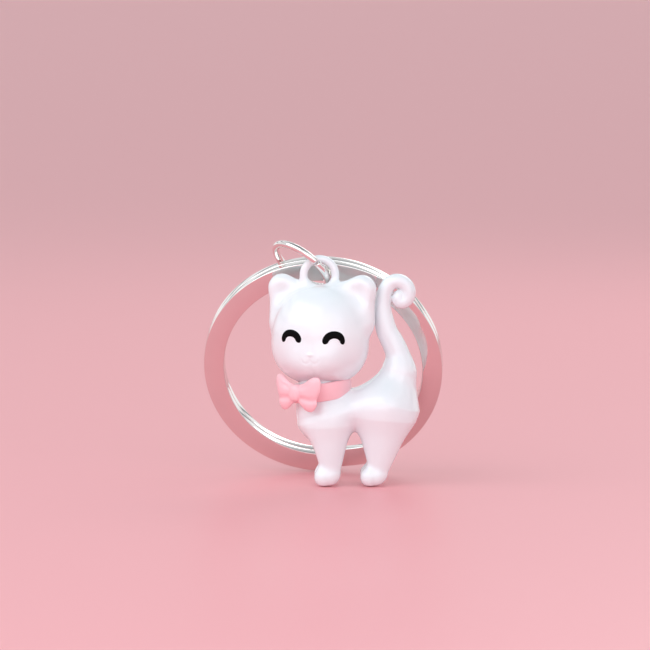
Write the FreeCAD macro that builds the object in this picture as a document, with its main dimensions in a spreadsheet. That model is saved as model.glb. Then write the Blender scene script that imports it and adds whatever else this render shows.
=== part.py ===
"""A cast cat figure on a split key ring, built as a parametric FreeCAD document.

Frame: +Z up, the paws stand on Z = 0, +X to the figure's tail, +Y to the key ring behind it.
Every driving size is a cell of the sheet; the sub-parts read it by its alias.
"""
import FreeCAD, Part
import math
import os

from FreeCAD import Placement, Rotation, Vector

doc = FreeCAD.newDocument("cat_keychain")
sheet = doc.addObject("Spreadsheet::Sheet", "sizes")

SIZES = [
    # the split key ring
    ("ring_outer", 33.0, "outer diameter of the split ring"),
    ("band_width", 2.8, "radial width of the flat band"),
    ("turn_thick", 1.05, "thickness of one turn of the band"),
    ("turn_gap", 0.10, "gap between the two turns"),
    ("jog_angle", 26.0, "angle over which the band steps from one turn to the other"),
    ("jog_at", 276.0, "where round the split ring the step is"),
    ("ring_yaw", 4.06, "turn of the split ring about the vertical"),
    ("hang_x", 0.089, "split ring's highest band point, sideways from the crown loop"),
    ("hang_back", 3.771, "split ring's highest band point, behind the crown loop"),
    ("hang_up", 0.595, "split ring's highest band point, above the crown loop's centre"),
    # the round-wire jump ring
    ("jump_radius", 4.3, "jump ring, centre line radius"),
    ("jump_wire", 1.0, "jump ring, wire diameter"),
    ("jump_butt", 5.0, "angle left open where the wire's ends meet"),
    ("jump_butt_at", 105.0, "where round the jump ring its ends meet"),
    ("jump_left", 2.427, "jump ring's centre, left of the crown loop"),
    ("jump_back", 2.62, "jump ring's centre, behind the crown loop"),
    ("jump_up", 1.088, "jump ring's centre, above the crown loop"),
    ("jump_slope", 38.8, "slope of the jump ring down to the right"),
    ("jump_tip", 25.38, "tip of the jump ring towards the back"),
    # the crown loop
    ("loop_radius", 2.15, "crown loop, centre line radius"),
    ("loop_wire", 1.12, "crown loop, section diameter"),
    ("loop_left", 0.45, "crown loop, left of the head's middle plane"),
    ("loop_rise", 1.4, "crown loop's centre above the crown"),
    ("loop_peg", 1.5, "crown loop's peg, diameter"),
    ("loop_peg_length", 3.4, "crown loop's peg, length below the loop's centre line"),
    # the head
    ("head_half_width", 6.95, "head, half width"),
    ("head_half_depth", 5.4, "head, half depth"),
    ("head_half_height", 6.8, "head, half height"),
    ("head_rise", 20.55, "head's centre above the floor"),
    ("head_ahead", 0.45, "head's centre, in front of the body's middle plane"),
    ("head_turn", 14.0, "turn of the head away from straight ahead"),
    ("ear_half_width", 2.15, "ear, half width"),
    ("ear_half_depth", 1.25, "ear, half depth"),
    ("ear_half_height", 4.1, "ear, half height"),
    ("ear_splay", 10.0, "outward lean of the ears"),
    ("ear_side", 5.1, "ear's middle, sideways from the head's middle"),
    ("ear_up", 4.0, "ear's middle, above the head's middle"),
    # the eyes
    ("eye_radius", 1.38, "arched eye, centre line radius"),
    ("eye_stroke", 0.76, "arched eye, width of the stroke"),
    ("eye_side", 3.3, "eye's middle, sideways from the head's middle"),
    ("eye_drop", 0.3, "eye's foot, below the head's middle"),
    # the neck
    ("neck_radius", 3.3, "neck, radius"),
    ("neck_top", 15.4, "top of the neck inside the head"),
    ("neck_fit", 0.03, "clearance of the neck in the head, radial"),
    ("dowel_diameter", 2.0, "neck dowel, diameter"),
    ("dowel_length", 7.0, "neck dowel, length"),
    ("collar_wall", 0.5, "collar ribbon, thickness"),
    ("collar_height", 2.1, "collar ribbon, height"),
    ("collar_rise", 12.9, "collar ribbon's middle above the floor"),
    # the bow
    ("bow_bearing", 47.0, "bearing of the bow from straight ahead to the left"),
    ("bow_knot", 0.95, "bow's knot, radius"),
    ("wing_length", 4.3, "bow wing, length out from the knot"),
    ("wing_thick", 1.3, "bow wing, thickness"),
    ("wing_top", 1.9, "bow wing's upper lobe, half height"),
    ("wing_tail", 1.55, "bow wing's lower lobe, half height"),
    # the body
    ("chest_radius", 3.75, "chest, radius"),
    ("hip_radius", 4.25, "rump, radius"),
    ("leg_spread", 2.15, "legs, sideways from the body's middle plane"),
    ("front_thigh", 2.25, "front leg, radius at the top"),
    ("hind_thigh", 2.6, "hind leg, radius at the top"),
    ("ankle_radius", 1.32, "leg, radius at the ankle"),
    ("paw_radius", 1.5, "paw, radius"),
    ("paw_height", 2.3, "paw, height"),
    # the tail
    ("tail_seat", 17.4, "height of the joint between the rump and the tail"),
    ("tail_root_radius", 1.75, "tail, radius at the joint"),
    ("pin_diameter", 1.2, "tail's pin, diameter"),
    ("pin_length", 3.6, "tail's pin, length"),
    ("tail_back", 0.2, "tail's middle plane, behind the body's"),
    # the origin
    ("datum_x", -0.075, "figure's own zero, sideways from the object's origin"),
    ("datum_y", -5.6, "figure's own zero, behind the object's origin"),
]


def write_sheet():
    """One row per size: alias, value, meaning."""
    for row, (alias, value, meaning) in enumerate(SIZES, start=1):
        sheet.set(f"A{row}", alias)
        sheet.set(f"B{row}", str(value))
        sheet.set(f"C{row}", meaning)
        sheet.setAlias(f"B{row}", alias)
    doc.recompute()


def size(alias):
    return float(sheet.get(alias))


def bind(obj, prop, alias_or_formula):
    """Tie a property to the sheet; words that are aliases are read from it."""
    words = {alias for alias, _, _ in SIZES}
    out = []
    for token in alias_or_formula.replace("(", "( ").replace(")", " )").split():
        out.append(f"<<sizes>>.{token}" if token in words else token)
    obj.setExpression(prop, " ".join(out))


def place(obj, x=0.0, y=0.0, z=0.0, rotation=Rotation()):
    """Place in the figure's own coordinates; the datum centres the whole object on the origin."""
    at = Vector(x + size("datum_x"), y + size("datum_y"), z)
    obj.Placement = Placement(at, rotation)
    return obj


def axes_rotation(right, up, out):
    """Rotation that takes X, Y and Z to three perpendicular unit vectors."""
    return Placement(FreeCAD.Matrix(
        right.x, up.x, out.x, 0,
        right.y, up.y, out.y, 0,
        right.z, up.z, out.z, 0,
        0, 0, 0, 1)).Rotation


def about(axis, degrees):
    return Rotation(Vector(*axis), degrees)


SEAM_ASIDE = about((0, 0, 1), 37)            # keeps a round piece's seam off the middle planes
SEAM_AND_POLE_ASIDE = about((1, 1, 0), 50)   # the same for a ball, its poles too


# ---------------------------------------------------------------- primitives


def ellipsoid(name, half_x, half_y, half_z):
    """Half sizes are sheet formulas or plain numbers."""
    obj = doc.addObject("Part::Ellipsoid", name)
    obj.Angle1 = -90
    for prop, value in (("Radius2", half_x), ("Radius3", half_y), ("Radius1", half_z)):
        if isinstance(value, str):
            bind(obj, prop, value)
        else:
            setattr(obj, prop, value)
    return obj


def cylinder(name, radius, height):
    obj = doc.addObject("Part::Cylinder", name)
    bind(obj, "Radius", radius)
    bind(obj, "Height", height)
    return obj


def torus(name, radius, wire_radius, sweep=360.0):
    obj = doc.addObject("Part::Torus", name)
    bind(obj, "Radius1", radius)
    bind(obj, "Radius2", wire_radius)
    obj.Angle3 = sweep
    return obj


def fuse(name, pieces):
    obj = doc.addObject("Part::MultiFuse", name)
    obj.Shapes = pieces
    return obj


def cut(name, base, tool):
    obj = doc.addObject("Part::Cut", name)
    obj.Base = base
    obj.Tool = tool
    return obj


def sketch_on(body, name, plane_role, segments):
    """Closed sketch of straight edges through the given points, on one of the body's own planes."""
    plane = next(f for f in body.Origin.OriginFeatures if f.Role == plane_role)
    sketch = body.newObject("Sketcher::SketchObject", name)
    sketch.AttachmentSupport = [(plane, "")]
    sketch.MapMode = "FlatFace"
    count = len(segments)
    for index, (x, y) in enumerate(segments):
        next_x, next_y = segments[(index + 1) % count]
        sketch.addGeometry(Part.LineSegment(Vector(x, y, 0), Vector(next_x, next_y, 0)), False)
    return sketch


# ---------------------------------------------------------------- the figure

NECK_X = -0.1          # neck's middle
CHEST = Vector(0.45, 0, 9.2)
HIP = Vector(9.0, 0, 10.9)
LEGS = {
    # top of the shank, ankle, middle of the paw along the body
    "front": (Vector(0.75, 0, 8.0), Vector(1.05, 0, 1.9), 0.45),
    "hind": (Vector(8.0, 0, 8.4), Vector(7.6, 0, 1.9), 6.85),
}


def taper(name, foot, head, foot_radius, head_radius):
    """Round bar between two points, tapered where its two radii differ."""
    straight = foot_radius == head_radius
    cone = doc.addObject("Part::Cylinder" if straight else "Part::Cone", name)
    cone.Height = (head - foot).Length
    bind(cone, "Radius" if straight else "Radius1", foot_radius)
    if not straight:
        bind(cone, "Radius2", head_radius)
    rotation = Rotation(Vector(0, 0, 1), head - foot) * SEAM_ASIDE
    return place(cone, foot.x, foot.y, foot.z, rotation)


def ball(name, middle, radius):
    sphere = doc.addObject("Part::Sphere", name)
    bind(sphere, "Radius", radius)
    return place(sphere, middle.x, middle.y, middle.z, SEAM_AND_POLE_ASIDE)


def leg(kind, side):
    """Tapered shank with a ball of a paw in front of its foot."""
    top, ankle, paw_x = LEGS[kind]
    label = f"{kind}_{'near' if side < 0 else 'far'}"
    aside = Vector(0, side * size("leg_spread"), 0)
    paw = Vector(paw_x, 0, 0.46 * size("paw_height")) + aside
    return [taper(f"shank_{label}", ankle + aside, top + aside, "ankle_radius", f"{kind}_thigh"),
            ball(f"ankle_{label}", ankle + aside, "ankle_radius"),
            ball(f"thigh_{label}", top + aside, f"{kind}_thigh"),
            ball(f"paw_{label}", paw, "paw_radius")]


def tail_seat():
    """Point and direction of the joint between the rump and the tail."""
    seat = Vector(10.5, size("tail_back"), size("tail_seat"))
    return seat, (seat - HIP).normalize()


def body_casting():
    seat, _ = tail_seat()
    neck_foot = Vector(NECK_X, 0, 9.0)
    neck_head = Vector(NECK_X, 0, size("neck_top"))
    pieces = [ball("chest", CHEST, "chest_radius"),
              ball("rump", HIP, "hip_radius"),
              taper("barrel", CHEST, HIP, "chest_radius * 0.9", "hip_radius * 0.86"),
              taper("tail_root", HIP, seat, "hip_radius * 0.93", "tail_root_radius"),
              taper("neck", neck_foot, neck_head, "neck_radius", "neck_radius")]
    for kind in LEGS:
        for side in (-1, 1):
            pieces += leg(kind, side)
    blank = fuse("body_blank", pieces)
    ground = doc.addObject("Part::Box", "ground")
    ground.Length, ground.Width, ground.Height = 60, 60, 10
    place(ground, -30, -30, -10)
    bores = fuse("body_bores", [ground, dowel_bore("neck_bore"), tail_bore("rump_bore")])
    return cut("body_casting", blank, bores)


def dowel_bore(name):
    """Bore for the dowel, half of it in the neck and half in the head."""
    bore = cylinder(name, "dowel_diameter / 2", "dowel_length")
    return place(bore, NECK_X, 0, size("neck_top") - size("dowel_length") / 2, SEAM_ASIDE)


def tail_bore(name):
    """Bore for the tail's pin, half of it in the rump and half in the tail."""
    seat, way = tail_seat()
    bore = cylinder(name, "pin_diameter / 2", "pin_length")
    foot = seat - way * (size("pin_length") / 2)
    return place(bore, foot.x, foot.y, foot.z, Rotation(Vector(0, 0, 1), way) * SEAM_ASIDE)


def turned_pin(name, diameter, length):
    """Plain steel pin about the vertical, with chamfered ends."""
    body = doc.addObject("PartDesign::Body", name)
    radius = size(diameter) / 2
    half = size(length) / 2
    chamfer = 0.2 * radius
    profile = [(0, -half), (radius - chamfer, -half), (radius, chamfer - half),
               (radius, half - chamfer), (radius - chamfer, half), (0, half)]
    sketch = sketch_on(body, f"{name}_profile", "XZ_Plane", profile)
    pin = body.newObject("PartDesign::Revolution", f"{name}_turn")
    pin.Profile = sketch
    pin.ReferenceAxis = (sketch, ["V_Axis"])
    pin.Angle = 360
    return body


def neck_dowel():
    return place(turned_pin("neck_dowel", "dowel_diameter", "dowel_length"), NECK_X, 0, size("neck_top"))


def tail_pin():
    seat, way = tail_seat()
    pin = turned_pin("tail_pin", "pin_diameter", "pin_length")
    return place(pin, seat.x, seat.y, seat.z, Rotation(Vector(0, 0, 1), way))


TAIL_PATH = [
    # (sideways, height above the floor, radius) up the tail and round its curl
    (9.7, 19.1, 1.5), (8.85, 20.9, 1.48), (8.3, 22.55, 1.38), (8.1, 24.2, 1.15),
    (8.2, 25.6, 1.03), (8.55, 26.9, 0.96), (9.3, 27.75, 0.92), (10.3, 27.95, 0.9),
    (11.25, 27.5, 0.88), (11.75, 26.6, 0.86), (11.6, 25.7, 0.8), (10.95, 25.25, 0.72),
    (10.45, 25.6, 0.6), (10.4, 25.85, 0.35),
]


def tail_casting():
    """Round sections along the tail's curl, each square to the path."""
    seat, way = tail_seat()
    path = [(seat.x, seat.z, size("tail_root_radius"))] + TAIL_PATH
    sections = []
    for index, (x, z, radius) in enumerate(path):
        before = path[max(index - 1, 0)]
        after = path[min(index + 1, len(path) - 1)]
        direction = Vector(after[0] - before[0], 0, after[1] - before[1])
        if index == 0:
            direction = way
        circle = doc.addObject("Part::Circle", f"tail_section_{index}")
        circle.Radius = radius
        place(circle, x, size("tail_back"), z, Rotation(Vector(0, 0, 1), direction))
        sections.append(circle)
    brush = doc.addObject("Part::Loft", "tail_loft")
    brush.Sections = sections
    brush.Solid = True
    return cut("tail_casting", brush, tail_bore("tail_bore"))


# ---------------------------------------------------------------- the head


def head_turned():
    return about((0, 0, 1), -size("head_turn"))


def head_point(x, y, z):
    """Point given in the head's own axes, from the head's middle."""
    turned = head_turned().multVec(Vector(x, y, z))
    return turned + Vector(-0.18, -size("head_ahead"), size("head_rise"))


def crown_top():
    return size("head_rise") + size("head_half_height")


def loop_middle():
    return Vector(-size("loop_left"), 0, crown_top() + size("loop_rise"))


def crown_loop():
    """Eye loop facing the front, cast on a peg that goes down into the crown."""
    at = loop_middle()
    eye = torus("loop_eye", "loop_radius", "loop_wire / 2")
    place(eye, at.x, at.y, at.z, about((1, 0, 0), 90))
    peg = cylinder("loop_peg_round", "loop_peg / 2", "loop_peg_length")
    peg_foot = at.z - size("loop_radius") - size("loop_peg_length")
    place(peg, at.x, at.y, peg_foot)
    return fuse("crown_loop", [eye, peg])


def eye_enamel(name, side):
    """Arched stroke let into the face: half a torus lying on it, with round ends."""
    w, d, h = (size(f"head_half_{word}") for word in ("width", "depth", "height"))
    x = side * size("eye_side")
    z = -size("eye_drop")
    y = -d * math.sqrt(1 - (x / w) ** 2 - (z / h) ** 2)
    out = Vector(x / w ** 2, y / d ** 2, z / h ** 2).normalize()
    right = Vector(0, 0, 1).cross(out)
    right = right.normalize()
    up = out.cross(right)
    turned = head_turned()
    rotation = turned * axes_rotation(right, up, out)
    at = head_point(x, y, z)
    pieces = [torus(f"{name}_arch", "eye_radius", "eye_stroke / 2", 180.0)]
    place(pieces[0], at.x, at.y, at.z, rotation)
    for end in (-1, 1):
        ball = doc.addObject("Part::Sphere", f"{name}_end_{'left' if end < 0 else 'right'}")
        bind(ball, "Radius", "eye_stroke / 2")
        foot = at + rotation.multVec(Vector(end * size("eye_radius"), 0, 0))
        place(ball, foot.x, foot.y, foot.z)
        pieces.append(ball)
    return fuse(name, pieces)


def ear(side):
    name = "ear_left" if side < 0 else "ear_right"
    piece = ellipsoid(name, "ear_half_width", "ear_half_depth", "ear_half_height")
    at = head_point(side * size("ear_side"), 0, size("ear_up"))
    lean = about((0, 1, 0), side * size("ear_splay"))
    return place(piece, at.x, at.y, at.z, head_turned() * lean)


def head_casting(fitted):
    """Head with its ears, hollowed for the neck, the dowel and what is let into it."""
    skull = ellipsoid("skull", "head_half_width", "head_half_depth", "head_half_height")
    at = head_point(0, 0, 0)
    place(skull, at.x, at.y, at.z, head_turned())
    blank = fuse("head_blank", [skull, ear(-1), ear(1)])
    socket = doc.addObject("Part::Cylinder", "neck_socket")
    bind(socket, "Radius", "neck_radius + neck_fit")
    bind(socket, "Height", "neck_top")
    place(socket, NECK_X, 0, 0)
    hollow = cut("head_socketed", blank, fuse("head_bores", [socket, dowel_bore("head_bore")]))
    for index, piece in enumerate(fitted[:-1]):
        hollow = cut(f"head_fitted_{index}", hollow, piece)
    return cut("head_casting", hollow, fitted[-1])


# ---------------------------------------------------------------- collar and bow


def collar_ribbon(body):
    """Flat ribbon round the neck, trimmed where it meets the shoulders."""
    ribbon = doc.addObject("PartDesign::Body", "collar_round")
    inner = size("neck_radius")
    outer = inner + size("collar_wall")
    half = size("collar_height") / 2
    edge = size("collar_wall") / 3
    profile = [(inner, -half), (outer - edge, -half), (outer, edge - half),
               (outer, half - edge), (outer - edge, half), (inner, half)]
    sketch = sketch_on(ribbon, "collar_profile", "XZ_Plane", profile)
    turn = ribbon.newObject("PartDesign::Revolution", "collar_turn")
    turn.Profile = sketch
    turn.ReferenceAxis = (sketch, ["V_Axis"])
    turn.Angle = 360
    place(ribbon, NECK_X, 0, size("collar_rise"))
    return cut("collar_ribbon", ribbon, body)


def bow_axes():
    bearing = math.radians(size("bow_bearing"))
    out = Vector(-math.sin(bearing), -math.cos(bearing), 0)
    side = Vector(-out.y, out.x, 0)
    reach = size("neck_radius") + size("collar_wall") + 0.6 * size("bow_knot")
    knot = Vector(NECK_X, 0, size("collar_rise") - 0.2) + out * reach
    return knot, out, side


def bow_knot(collar):
    knot, out, side = bow_axes()
    ball = ellipsoid("knot_round", "bow_knot", "bow_knot * 0.95", "bow_knot * 1.15")
    place(ball, knot.x, knot.y, knot.z, axes_rotation(side, out * -1, Vector(0, 0, 1)))
    return cut("bow_knot", ball, collar)


def bow_wing(name, way, knot_piece, collar):
    """Upper lobe and hanging lower lobe of one side of the bow."""
    knot, out, side = bow_axes()
    turned = axes_rotation(side, out * -1, Vector(0, 0, 1))
    length = size("wing_length")
    upper = ellipsoid(f"{name}_upper", "wing_length * 0.52", "wing_thick / 2", "wing_top")
    lower = ellipsoid(f"{name}_lower", "wing_length * 0.4", "wing_thick / 2", "wing_tail")
    upper_at = knot + side * (way * 0.5 * length) + Vector(0, 0, 0.75)
    lower_at = knot + side * (way * 0.44 * length) - Vector(0, 0, 1.45)
    place(upper, upper_at.x, upper_at.y, upper_at.z, turned)
    place(lower, lower_at.x, lower_at.y, lower_at.z, turned)
    lobes = fuse(f"{name}_lobes", [upper, lower])
    return cut(name, cut(f"{name}_trimmed", lobes, knot_piece), collar)


# ---------------------------------------------------------------- the rings


def jump_ring():
    """Round wire ring with its two ends butted."""
    slope = math.radians(size("jump_slope"))
    tip = math.radians(size("jump_tip"))
    out = Vector(math.cos(tip) * math.sin(slope), math.sin(tip), math.cos(tip) * math.cos(slope))
    left = Vector(-math.cos(slope), 0, math.sin(slope))
    across = out.cross(left)
    wire = torus("jump_ring", "jump_radius", "jump_wire / 2", 360.0 - size("jump_butt"))
    start = size("jump_butt_at") + size("jump_butt") / 2
    at = loop_middle() + Vector(-size("jump_left"), size("jump_back"), size("jump_up"))
    rotation = axes_rotation(left, across, out) * about((0, 0, 1), start)
    return place(wire, at.x, at.y, at.z, rotation)


def ring_axes():
    """Lean of the split ring: it hangs at the jump ring and its lower edge is on the floor."""
    radius = size("ring_outer") / 2
    middle = radius - size("band_width") / 2
    half_thick = size("turn_thick") + size("turn_gap") / 2
    top = loop_middle() + Vector(size("hang_x"), size("hang_back"), size("hang_up"))
    reach = math.hypot(radius + middle, half_thick)
    lean = math.acos(top.z / reach) + math.atan2(half_thick, radius + middle)
    yaw = math.radians(size("ring_yaw"))
    front = Vector(-math.sin(yaw) * math.cos(lean), -math.cos(yaw) * math.cos(lean), -math.sin(lean))
    right = Vector(math.cos(yaw), -math.sin(yaw), 0)
    up = front.cross(right)
    return top - up * middle, right, up, front


def band_turn(name, low, start, sweep):
    """One flat turn of the band, from an angle through a sweep."""
    radius = size("ring_outer") / 2
    section = doc.addObject("Part::Plane", f"{name}_section")
    section.Length = size("band_width")
    section.Width = size("turn_thick")
    spun = about((0, 0, 1), start)
    upright = about((1, 0, 0), 90)
    corner = spun.multVec(Vector(radius - size("band_width"), 0, low))
    section.Placement = Placement(corner, spun * upright)
    turn = doc.addObject("Part::Revolution", name)
    turn.Source = section
    turn.Axis = Vector(0, 0, 1)
    turn.Angle = sweep
    turn.Solid = True
    return turn


def band_jog(low, rise, sweep):
    """Stretch where the band steps from the rear turn up to the front one."""
    radius = size("ring_outer") / 2
    middle = radius - size("band_width") / 2
    climb = doc.addObject("Part::Helix", "jog_climb")
    climb.Pitch = rise * 360.0 / sweep
    climb.Height = rise
    climb.Radius = middle
    climb.Placement = Placement(Vector(0, 0, low + size("turn_thick") / 2), Rotation())
    section = doc.addObject("Part::Plane", "jog_section")
    section.Length = size("band_width")
    section.Width = size("turn_thick")
    corner = Vector(radius - size("band_width"), 0, low)
    section.Placement = Placement(corner, about((1, 0, 0), 90))
    jog = doc.addObject("Part::Sweep", "band_jog")
    jog.Sections = [section]
    jog.Spine = (climb, ["Edge1"])
    jog.Solid = True
    jog.Frenet = True
    return jog


def split_ring():
    """Flat band wound twice round, as one solid: rear turn, jog, front turn."""
    thick = size("turn_thick")
    rear = -thick - size("turn_gap") / 2
    front = size("turn_gap") / 2
    sweep = size("jog_angle")
    slack = 2.0
    long_turn = 360.0 - sweep - slack
    pieces = [band_turn("rear_turn", rear, sweep + slack, long_turn),
              band_jog(rear, thick + size("turn_gap"), sweep),
              band_turn("front_turn", front, sweep, long_turn)]
    ring = fuse("split_ring", pieces)
    middle, right, up, front_way = ring_axes()
    spin = about((0, 0, 1), size("jog_at"))
    return place(ring, middle.x, middle.y, middle.z, axes_rotation(right, up, front_way) * spin)


# ---------------------------------------------------------------- build and write


def build():
    write_sheet()
    body = body_casting()
    loop = crown_loop()
    left_eye = eye_enamel("left_eye_enamel", -1)
    right_eye = eye_enamel("right_eye_enamel", 1)
    head = head_casting([loop, left_eye, right_eye])
    collar = collar_ribbon(body)
    knot = bow_knot(collar)
    wings = [bow_wing("bow_left_wing", -1, knot, collar), bow_wing("bow_right_wing", 1, knot, collar)]
    return [body, tail_casting(), tail_pin(), head, loop, neck_dowel(), collar, knot, *wings,
            left_eye, right_eye, jump_ring(), split_ring()]


def write(parts):
    doc.recompute()
    for obj in doc.Objects:
        if "Invalid" in obj.State or "Error" in obj.State:
            raise RuntimeError(f"{obj.Name} failed: {obj.State}")
    for part in parts:
        if part.Shape.isNull() or not part.Shape.isValid():
            raise RuntimeError(f"{part.Name} is not a valid shape")
    os.makedirs("parts", exist_ok=True)
    whole = FreeCAD.BoundBox()
    for part in parts:
        part.Label = part.Name
        part.Shape.exportStep(f"parts/{part.Label}.step")
        whole.add(part.Shape.BoundBox)
        print(f"{part.Label}: {len(part.Shape.Solids)} solid, {part.Shape.Volume:.1f} mm3")
    print("whole object:", whole)


write(build())
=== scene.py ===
"""Looks of a small enamelled cat casting on a split key ring.

The file is laid out as an add-on and run as a script: each piece has an operator, the sizes and
colours are properties, and main() calls the operators in order.
Lengths inside the shape functions are millimetres in the figure's own axes: +X to the tail,
+Y to the key ring behind it, +Z up, zero on the floor under the neck.
"""
import math

import bmesh
import bpy
import numpy as np
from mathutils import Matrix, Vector


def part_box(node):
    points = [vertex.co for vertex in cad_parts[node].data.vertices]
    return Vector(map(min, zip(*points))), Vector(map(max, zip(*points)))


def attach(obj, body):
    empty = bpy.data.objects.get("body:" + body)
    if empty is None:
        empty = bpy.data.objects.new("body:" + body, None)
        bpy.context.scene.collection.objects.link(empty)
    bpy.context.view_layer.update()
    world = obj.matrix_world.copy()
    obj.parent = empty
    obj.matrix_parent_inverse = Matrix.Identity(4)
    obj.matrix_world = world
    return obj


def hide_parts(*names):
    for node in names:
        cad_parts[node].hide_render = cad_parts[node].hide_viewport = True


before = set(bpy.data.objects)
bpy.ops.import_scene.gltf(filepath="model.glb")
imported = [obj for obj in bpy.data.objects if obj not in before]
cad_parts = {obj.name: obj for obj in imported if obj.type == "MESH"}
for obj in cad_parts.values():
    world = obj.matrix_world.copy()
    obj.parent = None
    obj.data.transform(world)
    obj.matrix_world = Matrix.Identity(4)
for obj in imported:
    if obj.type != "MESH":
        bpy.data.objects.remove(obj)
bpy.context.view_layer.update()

bl_info = {
    "name": "Cat Key Ring",
    "version": (1, 0, 0),
    "blender": (4, 5, 0),
    "location": "View3D > Sidebar > Cat",
    "description": "Builds the looks of a cast cat on a split key ring",
    "category": "Object",
}

MM = 0.001

# places in the figure's own millimetres
NECK_X = -0.1                              # neck's middle, from the figure's zero
HEAD_LEFT = 0.18                           # head's middle, left of the figure's zero
LOOP_MIDDLE = np.array([-0.45, 0, 28.75])  # crown loop's middle
LOOP_WIRE = 0.56                           # crown loop's section, radius
HANG = (0.089, 3.771, 0.595)               # split ring's highest band point, from the crown loop
JUMP_MIDDLE = (-2.427, 2.62, 1.088)        # jump ring's middle, from the crown loop
JUMP_SLOPE = math.radians(38.8)            # jump ring's slope down to the right
JUMP_TIP = math.radians(25.38)             # jump ring's tip towards the back
BODY_REACH = ((-4.5, -5.6, -0.6), (14.3, 5.6, 29.8))   # box that holds the body's skin
HEAD_REACH = ((-8.6, -7.2, 12.8), (8.4, 6.4, 32.2))    # box that holds the head's skin


def node_middle(node):
    """Middle of a CAD node's box, in millimetres in the row frame."""
    low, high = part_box(node)
    return (np.array(low) + np.array(high)) / 2 / MM


# the neck dowel stands on the neck's own axis, so it says where the figure's zero is
FIGURE_ZERO = node_middle("neck_dowel") * (1, 1, 0) - (NECK_X, 0, 0)


def figure_box(node):
    """Low and high corner of a CAD node's box, in the figure's own millimetres."""
    return [np.array(corner) / MM - FIGURE_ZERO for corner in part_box(node)]


# ---------------------------------------------------------------- properties


def length(name, description, default_mm):
    return bpy.props.FloatProperty(
        name=name, description=description, default=default_mm * MM,
        min=0.0, unit="LENGTH", subtype="DISTANCE", precision=5)


def turn(name, description, default_degrees):
    return bpy.props.FloatProperty(
        name=name, description=description, default=math.radians(default_degrees),
        unit="ROTATION", subtype="ANGLE")


def shade(name, description, value):
    return bpy.props.StringProperty(name=name, description=description, default=value)


class CatSizes(bpy.types.PropertyGroup):
    """Sizes of the figure."""
    head_half_width: length("Head half width", "Half the head's width at its middle", 6.7)
    head_half_depth: length("Head half depth", "Half the head's depth, nose to back", 5.4)
    head_half_height: length("Head half height", "Half the head's height without ears", 6.8)
    head_rise: length("Head rise", "Height of the head's middle above the floor", 20.55)
    head_ahead: length("Head ahead", "Head's middle in front of the body's middle plane", 0.45)
    head_turn: turn("Head turn", "Turn of the face away from straight ahead", 14)
    leg_spread: length("Leg spread", "Legs' middle lines from the body's middle plane", 2.05)
    eye_stroke: length("Eye stroke", "Width of the eyes' black stroke", 1.0)
    collar_radius: length("Collar radius", "Outer radius of the collar ribbon", 4.0)
    collar_height: length("Collar height", "Height of the collar ribbon", 2.45)
    bow_bearing: turn("Bow bearing", "Bearing of the bow round the neck", 47)
    mesh_step: length("Mesh step", "Spacing of the mesh on the enamelled castings", 0.14)


class RingSizes(bpy.types.PropertyGroup):
    """Sizes and places of the two metal rings."""
    ring_outer: length("Split ring", "Outer diameter of the split ring", 33.0)
    band_width: length("Band width", "Radial width of the flat band", 2.8)
    turn_thick: length("Turn thickness", "Thickness of one turn of the band", 1.05)
    turn_gap: length("Turn gap", "Gap between the band's two turns", 0.10)
    jog_angle: turn("Step length", "Angle over which the band steps to its second turn", 26)
    jog_at: turn("Step place", "Where round the ring the step is", 276)
    ring_yaw: turn("Ring yaw", "Turn of the split ring about the vertical", 4.06)
    jump_radius: length("Jump ring", "Centre line radius of the round-wire ring", 4.3)
    jump_wire: length("Jump wire", "Wire diameter of the jump ring", 1.0)
    jump_butt: turn("Jump gap", "Angle open where the wire's ends meet", 5)
    jump_butt_at: turn("Jump gap place", "Where round the jump ring its ends meet", 105)


class Colours(bpy.types.PropertyGroup):
    """Colours as sRGB hex values."""
    white: shade("White enamel", "White stove enamel", "#F2F7FA")
    white_deep: shade("White enamel, thick", "White enamel where it pools", "#E9F0F5")
    pink: shade("Pink enamel", "Pink enamel of collar and bow", "#FECCD3")
    pink_deep: shade("Pink enamel, thick", "Pink enamel where it pools", "#FCC0C9")
    black: shade("Black enamel", "Black enamel of the eyes", "#020203")
    nickel: shade("Nickel plate", "Bright nickel of the rings", "#F0EDEA")
    steel: shade("Pin steel", "Drawn steel of the hidden pins", "#A9A9AC")
    floor: shade("Floor", "Plain pale studio floor", "#F4A0A7")


# ---------------------------------------------------------------- materials


def linear(hex_value):
    """sRGB hex to linear RGBA."""
    channels = np.array([int(hex_value[i:i + 2], 16) for i in (1, 3, 5)]) / 255
    low = channels / 12.92
    high = ((channels + 0.055) / 1.055) ** 2.4
    return (*np.where(channels <= 0.04045, low, high), 1.0)


def add_node(tree, kind, values=None, **settings):
    """Adds a node. values gives its sockets: a node's output to link, or a plain value."""
    node = tree.nodes.new(kind)
    for name, value in settings.items():
        setattr(node, name, value)
    for name, value in (values or {}).items():
        if isinstance(value, bpy.types.NodeSocket):
            tree.links.new(value, node.inputs[name])
        else:
            node.inputs[name].default_value = value
    return node


def blank_material(name):
    """Empty node material with its output node."""
    material = bpy.data.materials.new(name)
    material.use_nodes = True
    material.node_tree.nodes.clear()
    return material, material.node_tree


def per_metre(size_mm):
    """Noise scale for spots of a given size: features per metre of object coordinates."""
    return 1 / (size_mm * MM)


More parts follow.
